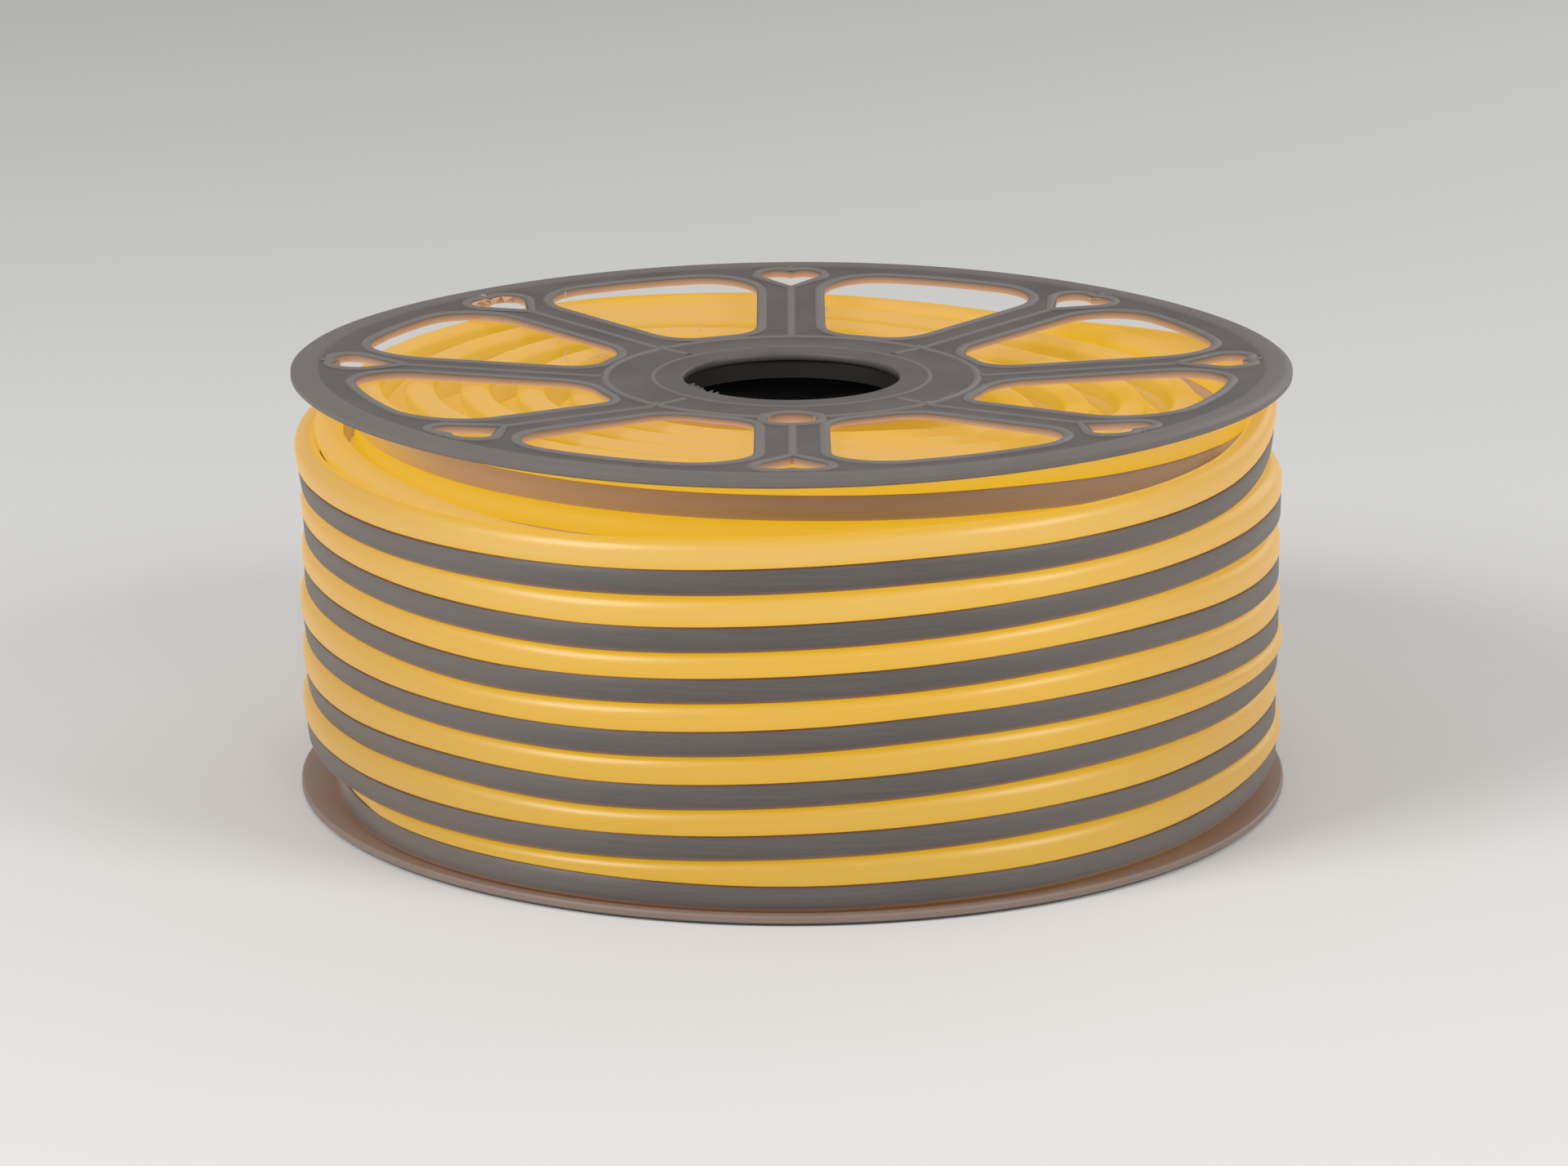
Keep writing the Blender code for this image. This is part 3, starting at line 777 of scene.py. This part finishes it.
def flex_rings():
    """The rings along the flex: place, lean, room for the dome, and how much daylight it gets."""
    route, outer_turn = winding_route()
    turns = np.arange(0.0, route[-1][0] + 0.01, 1.0 / ring_steps)
    key_turns = [key[0] for key in route]
    layer = smoothed(np.interp(turns, key_turns, [key[1] for key in route]), 9)
    height = smoothed(np.interp(turns, key_turns, [key[2] for key in route]), 3)
    radius = first_layer_radius + layer * layer_pitch
    radius += (0.22 * np.sin(2.0 * math.pi * 0.37 * turns) + 0.12 * np.sin(2.0 * math.pi * 1.41 * turns)) * MM
    azimuth = 2.0 * math.pi * turns
    crest = outer_turn - 8.0
    leans = flex_leans(crest, outer_turn)
    lean = smoothed(np.interp(turns, [key[0] for key in leans], [key[1] for key in leans]), 4)
    ceiling = [reel_height - face_depth(r) - web_thickness + rim_warp(a, r) - seat
               for r, a in zip(radius, azimuth)]
    room = np.array(ceiling) - height
    shelter = np.ones(len(turns))
    under_top_turn = (turns > crest - 0.48) & (turns < crest + 0.30)
    for index in range(len(turns)):
        step = ring_steps if round(float(layer[index])) % 2 else -ring_steps
        above = index + step
        if 0 <= above < len(turns) and abs(layer[above] - layer[index]) < 0.3:
            room[index] = min(room[index], height[above] - height[index])
        if layer[index] > layer_count - 1.5:
            shelter[index] = 0.0
        elif layer[index] > layer_count - 2.5:
            shelter[index] = 0.8
        elif layer[index] > layer_count - 3.5 and turns[index] > crest + 0.8:
            shelter[index] = np.interp(turns[index] - crest, *top_turn_shelter)
        if layer[index] > layer_count - 2.5 and height[index] < 30.0 * MM:
            shelter[index] = min(shelter[index], 0.12)
        if under_top_turn[index]:
            shelter[index] = 0.88
    room = (room - base_height) / dome_height
    # How far each dome is tucked under the turn above, where painted shade keeps it deep yellow.
    tucked = 1.0 - np.clip((room - 0.98) / 0.16, 0.0, 1.0)
    tucked[shelter > 0.9] = 0.0
    tucked[under_top_turn] = 1.0
    tail = np.clip((turns - outer_turn - 6.12) / 0.12, 0.0, 1.0)
    radius -= tail_pull * tail * tail * (3.0 - 2.0 * tail)
    bulge = 1.0 - np.abs(turns - crest - 1.80) / 0.14
    radius += crossing_bulge * np.clip(bulge, 0.0, 1.0)
    places = np.stack([radius * np.sin(azimuth), -radius * np.cos(azimuth), height], axis=1)
    along = np.concatenate([[0.0], np.cumsum(np.linalg.norm(np.diff(places, axis=0), axis=1))])
    hidden = (layer < layer_count - 1.5) & (height < 84.0 * MM)
    spacing = np.where(hidden, hidden_ring_spacing, ring_spacing)
    count = np.concatenate([[0.0], np.cumsum(np.diff(along) / spacing[1:])])
    marks = np.arange(0.0, count[-1])
    most_room = np.where(shelter > 0.5, 1.0, 1.22)
    values = (*places.T, lean, np.clip(room, 0.5, most_room), shelter, tucked)
    even = [np.interp(marks, count, value) for value in values]
    return np.stack(even[:3], axis=1), dict(zip(("lean", "room", "shelter", "tucked"), even[3:]))


def flex_tree():
    """Sweep a rounded section along the flex's route; its foot lies at a height above the route."""
    tree = bpy.data.node_groups.new("flex_section", "GeometryNodeTree")
    for name, kind, way in (("Route", "Geometry", "INPUT"), ("Width", "Float", "INPUT"),
                            ("Height", "Float", "INPUT"), ("Foot", "Float", "INPUT"),
                            ("Top Corner", "Float", "INPUT"),
                            ("Foot Corner", "Float", "INPUT"), ("Top Points", "Int", "INPUT"),
                            ("Material", "Material", "INPUT"), ("Flex", "Geometry", "OUTPUT")):
        tree.interface.new_socket(name, in_out=way, socket_type="NodeSocket" + kind)
    start = Wire(tree)
    inputs = tree.nodes.new("NodeGroupInput")
    route, width, height, foot, top_corner, foot_corner, count, material = [
        Wire(tree, inputs.outputs[i]) for i in range(8)]
    lean = start.node("GeometryNodeInputNamedAttribute", {"data_type": "FLOAT"}, {"Name": "lean"})
    room = start.node("GeometryNodeInputNamedAttribute", {"data_type": "FLOAT"}, {"Name": "room"})
    curve = start.node("GeometryNodeMeshToCurve", None, {0: route})
    curve = start.node("GeometryNodeSetCurveNormal", {"mode": "Z_UP"}, {0: curve})
    curve = start.node("GeometryNodeSetCurveTilt", None, {"Curve": curve, "Tilt": lean})
    box = start.node("GeometryNodeCurvePrimitiveQuadrilateral", None, {"Width": width, "Height": height})
    place = start.node("GeometryNodeInputPosition")
    upward = start.node("ShaderNodeSeparateXYZ", None, {0: place}, 1)
    is_top = start.node("ShaderNodeMath", {"operation": "GREATER_THAN"}, {0: upward, 1: 0.0})
    corner = is_top * top_corner + (1.0 - is_top) * foot_corner
    points = 1.0 + is_top * (count - 1.0)
    box = start.node("GeometryNodeFilletCurve", {"mode": "POLY"},
                     {"Curve": box, "Count": points, "Radius": corner, "Limit Radius": True})
    rise = upward + 0.5 * height
    across = start.node("ShaderNodeSeparateXYZ", None, {0: place}, 0)
    for name, value in (("rise", rise / height), ("across", across)):
        box = start.node("GeometryNodeStoreNamedAttribute", {"data_type": "FLOAT", "domain": "POINT"},
                         {"Geometry": box, "Name": name, "Value": value})
    shift = start.node("ShaderNodeCombineXYZ", None, {1: foot + 0.5 * height})
    box = start.node("GeometryNodeSetPosition", None, {"Geometry": box, "Offset": shift})
    box = start.node("GeometryNodeTransform", None, {"Geometry": box, "Scale": (1.0, -1.0, 1.0)})
    swept = start.node("GeometryNodeCurveToMesh", None,
                       {"Curve": curve, "Profile Curve": box, "Fill Caps": True})
    stored = start.node("GeometryNodeInputNamedAttribute", {"data_type": "FLOAT"}, {"Name": "rise"})
    pressed = start.node("ShaderNodeMath", {"operation": "MULTIPLY"}, {0: stored * height, 1: room - 1.0})
    is_dome = start.node("ShaderNodeMath", {"operation": "GREATER_THAN"}, {0: foot, 1: 0.0001})
    drop = start.node("ShaderNodeCombineXYZ", None, {2: pressed * is_dome})
    spread = start.node("GeometryNodeInputNamedAttribute", {"data_type": "FLOAT"}, {"Name": "across"})
    spread = spread * (1.0 - room) * 0.45 * is_dome
    flat = start.node("ShaderNodeVectorMath", {"operation": "MULTIPLY"}, {0: place, 1: (1.0, 1.0, 0.0)})
    outward = start.node("ShaderNodeVectorMath", {"operation": "NORMALIZE"}, {0: flat})
    outward = start.node("ShaderNodeVectorMath", {"operation": "SCALE"}, {0: outward, "Scale": spread})
    swept = start.node("GeometryNodeSetPosition", None, {"Geometry": swept, "Offset": drop})
    swept = start.node("GeometryNodeSetPosition", None, {"Geometry": swept, "Offset": outward})
    whole = start.node("GeometryNodeRealizeInstances", None, {0: swept})
    # The section is mirrored before the sweep, which leaves the faces pointing inwards.
    whole = start.node("GeometryNodeFlipFaces", None, {"Mesh": whole})
    done = start.node("GeometryNodeSetMaterial", None, {"Geometry": whole, "Material": material})
    output = tree.nodes.new("NodeGroupOutput")
    tree.links.new(done.socket, output.inputs[0])
    return tree


def glowing_dome():
    """Milky PVC lit from within, with painted light in its glow: painted shade keeps it deep yellow where it
    is sheltered, tucked under the turn above or in a crease, and darker towards the bottom and at the sides,
    and painted light makes it paler where light falls on it.
    """
    material = bpy.data.materials.new("glowing_dome")
    material.use_nodes = True
    tree = material.node_tree
    shader = tree.nodes["Principled BSDF"]
    start = Wire(tree)
    rise = start.node("ShaderNodeAttribute", {"attribute_name": "rise"}, output=2)
    shelter = start.node("ShaderNodeAttribute", {"attribute_name": "shelter"}, output=2)
    tucked = start.node("ShaderNodeAttribute", {"attribute_name": "tucked"}, output=2)
    where = start.node("ShaderNodeTexCoord", output=3)
    cloud = start.node("ShaderNodeTexNoise", None, {"Vector": where, "Scale": 14.0, "Detail": 2.0})
    height = start.node("ShaderNodeSeparateXYZ", None, {0: where}, 2)
    # Painted light: where the dome is painted paler, as if light fell on it, less on tucked turns and lower
    # down.
    band = rise.between(0.02, 0.30) * (1.0 - rise.between(0.50, 0.95))
    crown = rise.between(0.40, 0.85)
    side = start.node("ShaderNodeMath", {"operation": "ABSOLUTE"}, {0: start.node(
        "ShaderNodeSeparateXYZ", None, {0: where}, 0)}).between(0.07, 0.155)
    pale = (shelter * crown + (1.0 - shelter) * (0.35 + 0.65 * band)) * (1.0 - 0.92 * tucked)
    pale = pale * (0.30 + 0.70 * height.between(0.068, 0.110))
    # The paler colour of the painted light on the milky dome.
    milky = shelter.blend((0.735, 0.445, 0.084), (0.685, 0.385, 0.080))
    light = (pale * cloud.between(0.20, 0.55)).blend((0.735, 0.405, 0.004), milky)
    # Painted shade: the outer turns are painted darker at the left and right.
    light = (side * (1.0 - shelter)).blend(light, (0.610, 0.335, 0.050))
    # Painted shade on the lower part of the sheltered domes.
    crease = shelter.between(0.85, 1.0) * (1.0 - rise.between(0.45, 0.80))
    light = crease.blend(light, (0.60, 0.335, 0.022))
    # Painted shade: the flex is painted darker towards the bottom of the reel.
    dimmer = height.between(0.0, 0.10).blend((0.80, 0.81, 0.72), (1.0, 1.0, 1.0))
    light = start.node("ShaderNodeMix", {"data_type": "RGBA", "blend_type": "MULTIPLY"},
                       {0: 1.0, 6: light, 7: dimmer}, 2)
    tree.links.new(light.socket, shader.inputs["Emission Color"])
    tree.links.new((0.40 + 0.35 * shelter).socket, shader.inputs["Roughness"])
    tree.links.new((0.09 * (1.0 - shelter)).socket, shader.inputs["Coat Weight"])
    shader.inputs["Emission Strength"].default_value = 1.0
    shader.inputs["Base Color"].default_value = (0.07, 0.05, 0.03, 1.0)
    shader.inputs["Coat Roughness"].default_value = 0.14
    return material


def channel_plastic():
    """The opaque channel, mottled and streaked, with painted light: a little glow painted along its lower
    edges and more where it is sheltered, its left and right painted lighter, and painted shade along its top
    under the dome.
    """
    material = bpy.data.materials.new("channel_plastic")
    material.use_nodes = True
    tree = material.node_tree
    shader = tree.nodes["Principled BSDF"]
    start = Wire(tree)
    rise = start.node("ShaderNodeAttribute", {"attribute_name": "rise"}, output=2)
    where = start.node("ShaderNodeTexCoord", output=3)
    cloud = start.node("ShaderNodeTexNoise", None, {"Vector": where, "Scale": 30.0, "Detail": 3.0})
    shelter = start.node("ShaderNodeAttribute", {"attribute_name": "shelter"}, output=2)
    # Painted shade: a dark brown line along the channel's top, under the dome's overhang.
    shade_under_dome = rise.between(0.90, 0.97)
    foot = 1.0 - rise.between(0.02, 0.18)
    drawn = start.node("ShaderNodeVectorMath", {"operation": "MULTIPLY"}, {0: where, 1: (1.0, 1.0, 30.0)})
    streaks = start.node("ShaderNodeTexNoise", None, {"Vector": drawn, "Scale": 34.0, "Detail": 4.0})
    mottle = 0.4 * cloud + 0.6 * streaks.between(0.30, 0.70)
    tone = mottle.blend((0.091, 0.076, 0.070), (0.119, 0.102, 0.095))
    across = start.node("ShaderNodeSeparateXYZ", None, {0: where}, 0)
    # Painted light: the channel is painted lighter towards the left and right.
    side = start.node("ShaderNodeMath", {"operation": "ABSOLUTE"}, {0: across}).between(0.03, 0.12)
    tone = (side * 0.8).blend(tone, (0.155, 0.130, 0.112))
    tree.links.new(shade_under_dome.blend(tone, (0.10, 0.035, 0.010)).socket, shader.inputs["Base Color"])
    # Painted glow along the channel's lower edges.
    edge = foot.blend((0.0, 0.0, 0.0), (0.12, 0.035, 0.004))
    # Painted glow on sheltered channels, from the flex round them.
    lit = across.between(0.0, 0.11).blend((0.38, 0.18, 0.062), (0.40, 0.225, 0.130))
    lit = shelter.between(0.88, 1.0).blend(lit, (0.52, 0.285, 0.038))
    warm = shelter.blend(edge, lit)
    tree.links.new(warm.socket, shader.inputs["Emission Color"])
    shader.inputs["Emission Strength"].default_value = 1.0
    tree.links.new((0.36 + 0.14 * cloud).socket, shader.inputs["Roughness"])
    return material


ring_places, ring_values = flex_rings()
for name, foot, height, width, top_corner, foot_corner, top_points, material in (
        ("flex_base", 0.0, base_height, flex_width - 0.9 * MM, 0.1 * MM, 0.6 * MM, 1, channel_plastic()),
        ("flex_diffuser", base_height - 0.05 * MM, dome_height, flex_width + 0.3 * MM, 4.1 * MM,
         0.5 * MM, 4, glowing_dome())):
    line = bpy.data.meshes.new(name)
    line.from_pydata(ring_places.tolist(), [(i, i + 1) for i in range(len(ring_places) - 1)], [])
    for attribute, values in ring_values.items():
        line.attributes.new(attribute, "FLOAT", "POINT").data.foreach_set("value", values)
    flex = new_piece(name, line)
    sweep = flex.modifiers.new("Sweep", "NODES")
    sweep.node_group = flex_tree()
    set_inputs(sweep, width=width, height=height, foot=foot, top_corner=top_corner, foot_corner=foot_corner,
               top_points=top_points, material=material)
    settled(flex)
    flex.data.shade_smooth()
    flex.data.set_sharp_from_angle(angle=math.radians(50.0))
    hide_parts("neon_flex_coil")
    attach(flex, "root")
